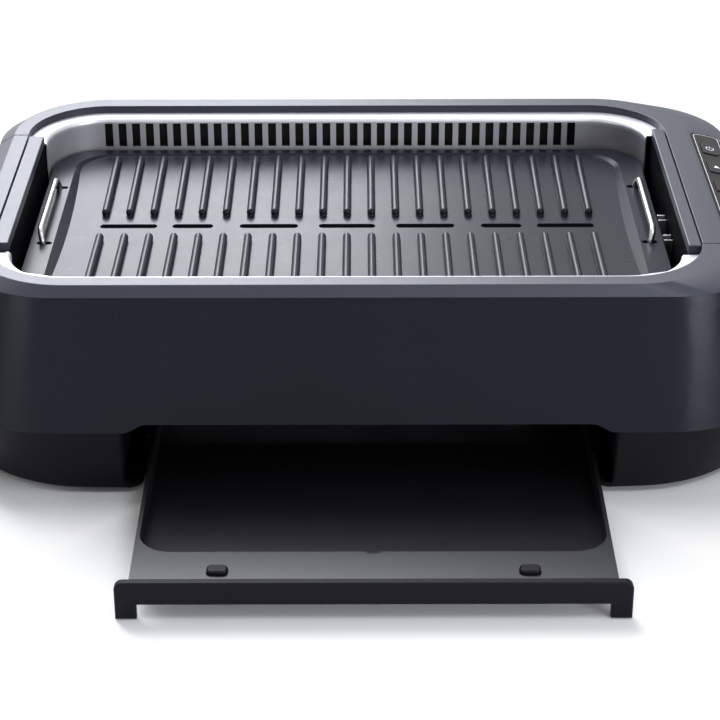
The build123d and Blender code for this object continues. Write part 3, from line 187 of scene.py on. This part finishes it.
panelLook = {"dark": (0.008, 0.007, 0.008), "light": (0.013, 0.011, 0.012),
             "rough": (0.24, 0.32), "grain": 700, "metallic": 0.0, "shine": 0.08, "depth": 0.000006}
keyLook = {"dark": (0.008, 0.007, 0.008), "light": (0.013, 0.011, 0.012),
           "rough": (0.22, 0.30), "grain": 700, "metallic": 0.0, "shine": 0.1, "depth": 0.000006}
boardLook = {"dark": (0.012, 0.075, 0.032), "light": (0.02, 0.11, 0.045),
             "rough": (0.30, 0.42), "grain": 900, "metallic": 0.0, "shine": 0.5, "depth": 0.00002}
footLook = {"dark": (0.010, 0.010, 0.010), "light": (0.018, 0.018, 0.018),
            "rough": (0.72, 0.84), "grain": 1200, "metallic": 0.0, "shine": 0.3, "depth": 0.00005}
markLook = {"dark": (0.60, 0.60, 0.62), "light": (0.72, 0.72, 0.74),
            "rough": (0.4, 0.5), "grain": 900, "metallic": 0.0, "shine": 0.4, "depth": 0.000004}
# The liner's wall darkens towards its ends below the lip, as painted shade: where the painted shade starts,
# over what run, and how far it goes
linerLook = {"dark": (0.52, 0.52, 0.56), "light": (0.64, 0.64, 0.68),
             "rough": (0.36, 0.46), "stretch": (0.06, 1, 1), "metallic": 0.6, "depth": 0.000010,
             "rightPaintedShade": (0.06, 0.12, 0.62), "leftPaintedShade": (0.11, 0.07, 0.26),
             "paintedShadeTone": (0.02, 0.02, 0.025), "paintedShadeTop": 0.1275, "paintedShadeRise": 0.004}
wireLook = {"dark": (0.42, 0.42, 0.42), "light": (0.52, 0.52, 0.51),
            "rough": (0.24, 0.32), "stretch": (1, 0.1, 1), "metallic": 1.0, "depth": 0.000004}
steelLook = {"dark": (0.50, 0.50, 0.51), "light": (0.62, 0.62, 0.63),
             "rough": (0.28, 0.40), "stretch": (1, 1, 0.2), "metallic": 1.0, "depth": 0.000010}
elementLook = {"dark": (0.10, 0.085, 0.075), "light": (0.22, 0.20, 0.19),
               "rough": (0.42, 0.58), "stretch": (0.2, 1, 1), "metallic": 0.85, "depth": 0.000010}
# The duct sheet is near black as painted shade, so the inside seen through the plate's drain slots reads dark
ductLook = {"dark": (0.004, 0.004, 0.005), "light": (0.008, 0.008, 0.009),
            "rough": (0.60, 0.74), "stretch": (0.1, 1, 1), "metallic": 0.1, "depth": 0.000010}
# Noise scales and details shared by the finishes
pattern = {"drift": (9, 4), "wear": (60, 5, 0.65), "grainDetail": (2, 0.5), "hairs": (160, 3, 0.6),
           "cloud": (14, 3), "hairShare": 0.6, "cloudShare": 0.4}


def mouldedFinish(name, look):
    finish = Finish(name)
    drift = finish.noise(*pattern["drift"])
    finish.colour(finish.mixed(drift, look["dark"], look["light"]))
    wear = finish.noise(*pattern["wear"])
    finish.rough(finish.span(wear, *look["rough"]))
    finish.fixed(Metallic=look["metallic"], Specular_IOR_Level=look["shine"])
    finish.relief(finish.noise(look["grain"], *pattern["grainDetail"]), look["depth"])
    return finish.material


# Painted shade: darkens the colour towards both ends along X, only below the lip's height
def paintedEndShade(finish, look, shade):
    along = finish.axis("X")
    start, run, most = look["rightPaintedShade"]
    shadeAtEnds = ((along - start) * (1 / run)).clamped() * most
    start, run, most = look["leftPaintedShade"]
    shadeAtEnds = shadeAtEnds + ((0 - along - start) * (1 / run)).clamped() * most
    below = ((look["paintedShadeTop"] - finish.axis("Z")) * (1 / look["paintedShadeRise"])).clamped()
    return finish.mixed(shadeAtEnds * below, shade, look["paintedShadeTone"])


def brushedFinish(name, look):
    finish = Finish(name)
    hairs = finish.noise(*pattern["hairs"], look["stretch"])
    cloud = finish.noise(*pattern["cloud"])
    tone = hairs * pattern["hairShare"] + cloud * pattern["cloudShare"]
    shade = finish.mixed(tone, look["dark"], look["light"])
    # Where a look gives it, painted shade darkens the wall towards its ends
    finish.colour(paintedEndShade(finish, look, shade) if "paintedShadeTop" in look else shade)
    finish.rough(finish.span(hairs, *look["rough"]))
    finish.fixed(Metallic=look["metallic"])
    finish.relief(hairs, look["depth"])
    return finish.material


finishes = {
    "housing": mouldedFinish("housingPaint", housingLook),
    "rim": mouldedFinish("rimPaint", rimLook),
    "black_shell": mouldedFinish("shellBlack", shellLook),
    "tray": mouldedFinish("trayBlack", trayLook),
    "plate": mouldedFinish("plateCoat", plateLook),
    "dark_plastic": mouldedFinish("innerPlastic", innerLook),
    "panel": mouldedFinish("panelGloss", panelLook),
    "keys": mouldedFinish("keyGloss", keyLook),
    "board": mouldedFinish("boardGreen", boardLook),
    "feet": mouldedFinish("footRubber", footLook),
    "liner": brushedFinish("linerSteel", linerLook),
    "bright_wire": brushedFinish("brightWire", wireLook),
    "steel": brushedFinish("plainSteel", steelLook),
    "element": brushedFinish("elementSheath", elementLook),
    "duct_sheet": brushedFinish("ductSheet", ductLook),
}
wallBlack = mouldedFinish("wallBlack", wallLook)
markWhite = mouldedFinish("markWhite", markLook)
frontBlack = mouldedFinish("frontBlack", frontLook)
slotOf = {part["node"]: part["material_slot"] for part in frame["record"]["subparts"]}
bodyOf = {node: body for body, members in frame["record"]["behaviour"]["bodies"].items() for node in members}
for nodeName, nodeObject in frame["nodes"].items():
    nodeObject.data.materials.clear()
    nodeObject.data.materials.append(finishes[slotOf[nodeName]])
print("stage: finishes made")


# Shared mesh steps

meshSteps = {"merge": 0.000002, "flatness": 0.6, "bevelAngle": 25.0, "sharpAngle": 35.0, "normalWeight": 100}


def addPiece(bm, name, slot, body, replaced=(), material=None):
    mesh = bpy.data.meshes.new(name)
    bm.to_mesh(mesh)
    bm.free()
    piece = bpy.data.objects.new(name, mesh)
    scene.collection.objects.link(piece)
    mesh.materials.clear()
    mesh.materials.append(material or finishes[slot])
    for polygon in mesh.polygons:
        polygon.use_smooth = True
    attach(piece, body)
    if replaced:
        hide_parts(*replaced)
    return piece


def replaceNode(bm, node, name, material=None):
    return addPiece(bm, name, slotOf[node], bodyOf[node], (node,), material)


def mergedCopy(node):
    bm = bmesh.new()
    bm.from_mesh(frame["nodes"][node].data)
    bmesh.ops.remove_doubles(bm, verts=bm.verts, dist=meshSteps["merge"])
    return bm


def flatCopy(node):
    bm = mergedCopy(node)
    bmesh.ops.dissolve_limit(bm, angle_limit=radians(meshSteps["flatness"]), verts=bm.verts, edges=bm.edges)
    return bm


def markSharp(bm):
    for edge in bm.edges:
        edge.smooth = len(edge.link_faces) != 2 or edge.calc_face_angle() < radians(meshSteps["sharpAngle"])


def bevelEdges(bm, edges, width, segments):
    bmesh.ops.bevel(bm, geom=edges, offset=width * mm, offset_type="OFFSET", segments=segments,
                    profile=0.5, affect="EDGES", clamp_overlap=False, material=-1)


def roundEdges(piece, width):
    if width:
        bevel = piece.modifiers.new("edgeRound", "BEVEL")
        bevel.width = width * mm
        bevel.segments = 3
        bevel.limit_method = "ANGLE"
        bevel.angle_limit = radians(meshSteps["bevelAngle"])
    weighted = piece.modifiers.new("evenNormals", "WEIGHTED_NORMAL")
    weighted.keep_sharp = True
    weighted.weight = meshSteps["normalWeight"]


def softenNode(node, name, width, material=None):
    roundEdges(replaceNode(flatCopy(node), node, name, material), width)


# Edge rounding in millimetres for each copied piece
softened = {
    "upper_housing": ("housingWall", 0.9),
    "front_rim": ("rimFront", 0.45),
    "rear_rim": ("rimRear", 0.45),
    "left_handle_bar": ("handleBarLeft", 0.45),
    "left_inner_bar": ("innerBarLeft", 0.3),
    "right_inner_bar": ("innerBarRight", 0.3),
    "drip_tray": ("trayBasin", 0.5),
    "control_panel": ("panelPlate", 0.3),
    "key_power": ("keyPower", 0.3),
    "key_up": ("keyUp", 0.3),
    "key_down": ("keyDown", 0.3),
    "key_fan": ("keyFan", 0.3),
    "rubber_feet": ("rubberFeet", 0.6),
    "power_inlet": ("inletCup", 0.4),
    "contact_forks": ("contactForks", 0.2),
    "terminal_socket": ("contactBlock", 0.4),
}
for nodeName, (pieceName, width) in softened.items():
    softenNode(nodeName, pieceName, width)

# Base: a rounded foot edge, rounded corners where the tray's notch starts, and under the tray
# a shallower set-back whose hollow corners are turned outwards
baseShape = {"notchX": 5.5, "notchHalf": 148.0, "front": -174.0, "upright": 20.0, "near": 1.0,
             "corner": 2.5, "cornerSegments": 5, "foot": 1.4, "footSegments": 4, "footZ": 4.0,
             "footSlope": (0.05, 0.9), "mouthFront": -166.1, "mouthRear": -142.0, "mouthShift": 10.0,
             "mouthCorner": 10.0, "mouthTop": 7.0, "slack": 0.1, "hair": 0.01}
slack, hair = baseShape["slack"], baseShape["hair"]
bm = flatCopy("base_shell")
for vert in bm.verts:
    besideX = abs(vert.co.x / mm - baseShape["notchX"])
    along = (vert.co.y - bodyY) / mm
    if vert.co.z / mm > baseShape["mouthTop"] + slack or besideX > baseShape["notchHalf"] - hair:
        continue
    if abs(along - baseShape["mouthRear"]) < slack:
        vert.co.y -= baseShape["mouthShift"] * mm
    inward = baseShape["notchHalf"] - besideX
    behind = along - baseShape["mouthFront"] - slack
    if hair < inward < baseShape["mouthCorner"] - hair and hair < behind < baseShape["mouthCorner"]:
        side = 1 if vert.co.x / mm > baseShape["notchX"] else -1
        vert.co.x = (baseShape["notchX"] + side * (baseShape["notchHalf"] - behind)) * mm
        vert.co.y = bodyY + (baseShape["mouthFront"] + slack + inward) * mm
cornerEdges = []
footEdges = []
for edge in bm.edges:
    first, second = (vert.co for vert in edge.verts)
    upright = abs(first.z - second.z) > baseShape["upright"] * mm
    beside = abs(abs(first.x / mm - baseShape["notchX"]) - baseShape["notchHalf"]) < baseShape["near"]
    if upright and beside and min(first.y, second.y) < bodyY + baseShape["front"] * mm:
        cornerEdges.append(edge)
    low = all(abs(vert.co.z / mm - baseShape["footZ"]) < hair for vert in edge.verts)
    flattest, steepest = baseShape["footSlope"]
    if low and any(flattest < abs(face.normal.z) < steepest for face in edge.link_faces):
        footEdges.append(edge)
bevelEdges(bm, cornerEdges, baseShape["corner"], baseShape["cornerSegments"])
footEdges = [edge for edge in footEdges if edge.is_valid]
bevelEdges(bm, footEdges, baseShape["foot"], baseShape["footSegments"])
markSharp(bm)
roundEdges(replaceNode(bm, "base_shell", "baseShell"), 0)
print("stage: base rounded,", len(cornerEdges), "corners,", len(footEdges), "foot edges")

softenNode("tray_front", "trayFront", 0.7, frontBlack)
for nodeName, pieceName in (("left_side_wall", "sideWallLeft"), ("right_side_wall", "sideWallRight"),
                            ("left_runner", "runnerLeft"), ("right_runner", "runnerRight")):
    softenNode(nodeName, pieceName, 0.3, wallBlack)
print("stage: housing, rims and tray softened")


# Bails, contact pins and heating tube are round, so only their shading is smoothed
for nodeName, pieceName in (("left_bail", "bailLeft"), ("right_bail", "bailRight"),
                            ("terminal_pins", "contactPins"), ("heating_element", "heatingTube")):
    bm = mergedCopy(nodeName)
    bright = finishes["bright_wire"] if nodeName == "terminal_pins" else None
    markSharp(bm)
    roundEdges(replaceNode(bm, nodeName, pieceName, bright), 0)


# Liner: its lip turns into the wall over a wide bend, and stands higher along the front
linerShape = {"bend": 3.2, "segments": 5, "level": 0.00001, "faceUp": 0.9, "faceIn": 0.1,
              "raise": 1.8, "raiseFloor": 125.0, "raiseStart": -122.0, "raiseRun": 7.0}
bm = flatCopy("liner")
linerLow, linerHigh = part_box("liner")
linerMiddle = (linerLow + linerHigh) / 2
bent = []
for edge in bm.edges:
    if len(edge.link_faces) != 2:
        continue
    onLip = all(abs(vert.co.z - linerHigh.z) < linerShape["level"] for vert in edge.verts)
    faceUp = any(face.normal.z > linerShape["faceUp"] for face in edge.link_faces)
    faceIn = any(abs(face.normal.z) < linerShape["faceIn"]
                 and face.normal.dot(linerMiddle - face.calc_center_median()) > 0 for face in edge.link_faces)
    if onLip and faceUp and faceIn:
        bent.append(edge)
bevelEdges(bm, bent, linerShape["bend"], linerShape["segments"])
for vert in bm.verts:
    along = (vert.co.y - bodyY) / mm
    if vert.co.z / mm > linerShape["raiseFloor"] and along < linerShape["raiseStart"]:
        reach = (linerShape["raiseStart"] - along) / linerShape["raiseRun"]
        vert.co.z += min(reach, 1.0) * linerShape["raise"] * mm
markSharp(bm)
roundEdges(replaceNode(bm, "liner", "linerWell"), 0)
print("stage: liner bent,", len(bent), "lip edges")


# Grill plate: the cast ribs of the copy give way to round ones, and its drain slots open a little wider
plateShape = {"depth": 4.5, "arcRadius": 2056.0, "arcMiddle": -3.5, "ribs": 21, "pitch": 16.0, "width": 5.4,
              "height": 3.3, "root": 0.9, "rearStart": 15.0, "rearEnd": 104.0, "frontStart": -19.0,
              "frontEnd": -111.0, "ribAround": 20, "ribRings": 11, "above": 0.4, "margin": 1.0,
              "slotReach": 2.7, "slotHalf": 165.0, "slotWiden": 1.25, "flatness": 0.3, "edge": 0.7}


def dishFloor(along):
    arc = plateShape["arcMiddle"]
    sag = ((along - arc) ** 2 - arc ** 2) / (2 * plateShape["arcRadius"])
    return plateHigh.z + (sag - plateShape["depth"]) * mm


def onRibs(face):
    middle = face.calc_center_median()
    along = (middle.y - bodyY) / mm
    margin = plateShape["margin"]
    beside = abs(middle.x - wellX) / mm < plateShape["ribs"] * plateShape["pitch"] / 2
    rear = plateShape["rearStart"] - margin < along < plateShape["rearEnd"] + margin
    front = plateShape["frontEnd"] - margin < along < plateShape["frontStart"] + margin
    return beside and (rear or front) and dishFloor(along) + plateShape["above"] * mm < middle.z


bm = mergedCopy("grill_plate")
bmesh.ops.delete(bm, geom=[face for face in bm.faces if onRibs(face)], context="FACES")
openEdges = [edge for edge in bm.edges if edge.is_boundary]
bmesh.ops.holes_fill(bm, edges=openEdges, sides=0)
slotVerts = [vert for vert in bm.verts if abs(vert.co.y - bodyY) < plateShape["slotReach"] * mm
             and abs(vert.co.x - wellX) < plateShape["slotHalf"] * mm]
bmesh.ops.scale(bm, verts=slotVerts, vec=(1, plateShape["slotWiden"], 1),
                space=Matrix.Translation((0, -bodyY, 0)))
bmesh.ops.dissolve_limit(bm, angle_limit=radians(plateShape["flatness"]), verts=bm.verts, edges=bm.edges)
for first, last in (("rearStart", "rearEnd"), ("frontEnd", "frontStart")):
    nearY, farY = plateShape[first], plateShape[last]
    nearZ, farZ = dishFloor(nearY), dishFloor(farY)
    halfRun = (farY - nearY - plateShape["width"]) / 2 * mm
    slope = atan2(farZ - nearZ, (farY - nearY) * mm)
    place = (Matrix.Translation((wellX, bodyY + (nearY + farY) / 2 * mm, (nearZ + farZ) / 2))
             @ Matrix.Rotation(slope, 4, "X"))
    for index in range(plateShape["ribs"]):
        rib = bmesh.ops.create_uvsphere(bm, u_segments=plateShape["ribAround"],
                                        v_segments=plateShape["ribRings"],
                                        radius=plateShape["width"] / 2 * mm,
                                        matrix=Matrix.Rotation(pi / 2, 4, "X"))["verts"]
        for vert in rib:
            rise = plateShape["height"] if vert.co.z > 0 else plateShape["root"]
            vert.co.z *= 2 * rise / plateShape["width"]
            vert.co.y += halfRun if vert.co.y > 0 else -halfRun
        across = (index - (plateShape["ribs"] - 1) / 2) * plateShape["pitch"] * mm
        bmesh.ops.transform(bm, matrix=Matrix.Translation((across, 0, 0)) @ place, verts=rib)
roundEdges(replaceNode(bm, "grill_plate", "grillPlate"), plateShape["edge"])
print("stage: plate ribbed,", len(openEdges), "edges closed,", len(slotVerts), "slot corners")


# Panel outline and key marks, standing a hair proud of their faces
panelShape = {"x": 236.5, "y": 14.0, "rise": 6.0, "run": 27.0, "deckX": 224.0, "deckZ": 134.0,
              "width": 17.4, "length": 145.4, "corner": 4.2, "cornerSegments": 6, "line": 0.35,
              "thick": 0.05, "keyLift": 0.6}
keyMarks = {"key_power": ("power_key", 48.0), "key_up": ("up_key", 16.0), "key_down": ("down_key", -16.0),
            "key_fan": ("fan_key", -48.0)}
markShape = {"ring": 2.9, "line": 0.6, "gap": 2.2, "ringSegments": 36, "bar": (0.55, 2.9), "barUp": 2.0,
             "blades": 3, "blade": 1.0, "bladeScale": (0.85, 1.45), "bladePlace": (0.35, 1.75),
             "bladeSegments": 16, "arrow": 2.6}
panelTilt = atan2(panelShape["rise"], panelShape["run"])
panelZ = panelShape["deckZ"] - (panelShape["x"] - panelShape["deckX"]) * tan(panelTilt)


def onPanel(alongY, lift):
    slope = Matrix.Rotation(panelTilt, 4, "Y")
    middle = (panelShape["x"] * mm, bodyY + (panelShape["y"] + alongY) * mm, panelZ * mm)
    return Matrix.Translation(middle) @ slope @ Matrix.Translation((0, 0, lift * mm))


def flatBar(bm, width, length):
    made = bmesh.ops.create_grid(bm, x_segments=1, y_segments=1, size=0.5)["verts"]
    bmesh.ops.scale(bm, verts=made, vec=(width * mm, length * mm, 1))
    return made


def roundedFrame(bm, width, length, corner, line):
    bmesh.ops.bevel(bm, geom=flatBar(bm, width, length), offset=corner * mm, offset_type="OFFSET",
                    segments=panelShape["cornerSegments"], profile=0.5, affect="VERTICES",
                    clamp_overlap=False, material=-1)
    bm.faces.ensure_lookup_table()
    face = bm.faces[-1]
    bmesh.ops.inset_region(bm, faces=[face], thickness=line * mm, use_boundary=True, use_even_offset=True)
    bmesh.ops.delete(bm, geom=[face], context="FACES")


def finishMark(bm, name, body, slot, alongY, lift):
    raised = bmesh.ops.extrude_face_region(bm, geom=bm.faces[:])
    bmesh.ops.translate(bm, verts=[item for item in raised["geom"] if isinstance(item, bmesh.types.BMVert)],
                        vec=(0, 0, panelShape["thick"] * mm))
    bmesh.ops.recalc_face_normals(bm, faces=bm.faces)
    bmesh.ops.transform(bm, matrix=onPanel(alongY, lift), verts=bm.verts)
    piece = addPiece(bm, name, slot, body, (), markWhite)
    for polygon in piece.data.polygons:
        polygon.use_smooth = False


def powerMark(bm):
    bmesh.ops.create_circle(bm, cap_ends=True, segments=markShape["ringSegments"],
                            radius=markShape["ring"] * mm)
    bm.faces.ensure_lookup_table()
    disc = bm.faces[0]
    bmesh.ops.inset_region(bm, faces=[disc], thickness=markShape["line"] * mm, use_boundary=True,
                           use_even_offset=True)
    opened = [face for face in bm.faces if face is not disc
              and face.calc_center_median().y > markShape["gap"] * mm]
    bmesh.ops.delete(bm, geom=[disc] + opened, context="FACES")
    bmesh.ops.translate(bm, verts=flatBar(bm, *markShape["bar"]), vec=(0, markShape["barUp"] * mm, 0))


def fanMark(bm):
    for turn in range(markShape["blades"]):
        blade = bmesh.ops.create_circle(bm, cap_ends=True, segments=markShape["bladeSegments"],
                                        radius=markShape["blade"] * mm)["verts"]
        bmesh.ops.scale(bm, verts=blade, vec=(*markShape["bladeScale"], 1))
        bmesh.ops.translate(bm, verts=blade, vec=(*(place * mm for place in markShape["bladePlace"]), 0))
        bmesh.ops.rotate(bm, verts=blade, cent=(0, 0, 0),
                         matrix=Matrix.Rotation(turn * 2 * pi / markShape["blades"], 3, "Z"))


def arrowMark(bm, turned):
    arrow = bmesh.ops.create_circle(bm, cap_ends=True, segments=3, radius=markShape["arrow"] * mm)["verts"]
    if turned:
        bmesh.ops.rotate(bm, verts=arrow, cent=(0, 0, 0), matrix=Matrix.Rotation(pi, 3, "Z"))


bm = bmesh.new()
roundedFrame(bm, panelShape["width"], panelShape["length"], panelShape["corner"], panelShape["line"])
finishMark(bm, "panelOutline", "grill_base", "panel", 0, 0)
for keyName, (keyBody, keyY) in keyMarks.items():
    bm = bmesh.new()
    if keyName == "key_power":
        powerMark(bm)
    elif keyName == "key_fan":
        fanMark(bm)
    else:
        arrowMark(bm, keyName == "key_down")
    finishMark(bm, keyName + "_mark", keyBody, "keys", keyY, panelShape["keyLift"])
print("stage: panel marks made")


# Camera at the photograph's angle: place in millimetres from the body's middle, angles in degrees

cameraPlace = {"x": 1.0, "y": -1294.8, "z": 692.2, "pitch": 28.0, "yaw": -0.04, "roll": -0.14,
               "focal": 108.15, "sensor": 36.0}
cameraData = bpy.data.cameras.new("photoCamera")
cameraData.lens = cameraPlace["focal"]
cameraData.sensor_width = cameraPlace["sensor"]
camera = bpy.data.objects.new("photoCamera", cameraData)
scene.collection.objects.link(camera)
turned = (Matrix.Rotation(radians(-cameraPlace["yaw"]), 4, "Z")
          @ Matrix.Rotation(radians(90 - cameraPlace["pitch"]), 4, "X")
          @ Matrix.Rotation(radians(cameraPlace["roll"]), 4, "Z"))
camera.matrix_world = Matrix.Translation((cameraPlace["x"] * mm, bodyY + cameraPlace["y"] * mm,
                                          cameraPlace["z"] * mm)) @ turned
scene.camera = camera


# Floor: it glows white a little way off and keeps its own shadow beside the grill

def seenRays(tree):
    rayPath = tree.nodes.new("ShaderNodeLightPath")
    camera, glossy, through = (Wire(tree, rayPath.outputs["Is " + kind + " Ray"])
                               for kind in ("Camera", "Glossy", "Transmission"))
    return (camera + glossy + through).atMost(1.0)


floorShape = {"half": 6.0, "fade": 0.06, "glow": 0.92, "tone": (0.86, 0.86, 0.86, 1), "rough": 0.6}
floorBm = bmesh.new()
bmesh.ops.create_grid(floorBm, x_segments=1, y_segments=1, size=floorShape["half"])
floorMesh = bpy.data.meshes.new("floorSheet")
floorBm.to_mesh(floorMesh)
floorBm.free()
floor = bpy.data.objects.new("floorSheet", floorMesh)
scene.collection.objects.link(floor)
floorFinish = Finish("floorWhite")
floorFinish.fixed(Base_Color=floorShape["tone"], Roughness=floorShape["rough"])
glow = floorFinish.node("Emission", Color=(1, 1, 1, 1), Strength=1.0)
outside = None
for nodeName in ("base_shell", "drip_tray"):
    footLow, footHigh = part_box(nodeName)
    besideX = (floorFinish.axis("X") - (footLow.x + footHigh.x) / 2).absolute() - (footHigh.x - footLow.x) / 2
    besideY = (floorFinish.axis("Y") - (footLow.y + footHigh.y) / 2).absolute() - (footHigh.y - footLow.y) / 2
    apart = besideX.atLeast(besideY)
    outside = apart if outside is None else outside.atMost(apart)
seen = seenRays(floorFinish.tree) * ((outside * (1 / floorShape["fade"])).clamped() * floorShape["glow"])
floorMix = floorFinish.node("MixShader")
floorFinish.tree.links.new(seen.socket, floorMix.inputs[0])
floorFinish.tree.links.new(floorFinish.shader.outputs[0], floorMix.inputs[1])
floorFinish.tree.links.new(glow.outputs[0], floorMix.inputs[2])
floorFinish.tree.links.new(floorMix.outputs[0], floorFinish.tree.nodes["Material Output"].inputs[0])
floorMesh.materials.append(floorFinish.material)


# World and lamps: the world is white where it is seen and gives a low even light

worldShape = {"seen": 1.0, "even": 0.3}
world = bpy.data.worlds.new("studioWorld")
scene.world = world
world.use_nodes = True
background = world.node_tree.nodes["Background"]
background.inputs[0].default_value = (1, 1, 1, 1)
strength = seenRays(world.node_tree) * (worldShape["seen"] - worldShape["even"]) + worldShape["even"]
world.node_tree.links.new(strength.socket, background.inputs[1])

lampTint = (0.92, 0.94, 1.0)
lamps = {
    "keyPanel": {"place": (-0.72, 1.75, 1.54), "aim": (-0.05, 0.0, 0.1), "size": (1.9, 1.6), "watts": 108},
    "topPanel": {"place": (-0.45, 0.85, 1.95), "aim": (0.0, -0.1, 0.1), "size": (0.9, 0.7), "watts": 24},
    "upperPanel": {"place": (0.66, -0.62, 1.55), "aim": (0.1, -0.1, 0.1), "size": (0.8, 0.7), "watts": 9},
    "rightPanel": {"place": (1.25, -1.50, 0.45), "aim": (0.1, 0.0, 0.1), "size": (0.8, 0.7), "watts": 22},
    "leftPanel": {"place": (-1.45, -1.50, 0.45), "aim": (-0.1, 0.0, 0.1), "size": (0.7, 0.6), "watts": 5},
}
for lampName, lamp in lamps.items():
    light = bpy.data.lights.new(lampName, "AREA")
    light.shape = "RECTANGLE"
    light.size, light.size_y = lamp["size"]
    light.energy = lamp["watts"]
    light.color = lampTint
    lightObject = bpy.data.objects.new(lampName, light)
    scene.collection.objects.link(lightObject)
    lightObject.location = lamp["place"]
    towards = Vector(lamp["aim"]) - Vector(lamp["place"])
    lightObject.rotation_euler = towards.to_track_quat("-Z", "Y").to_euler()
scene.view_settings.view_transform = "Standard"
print("stage: camera and light set")
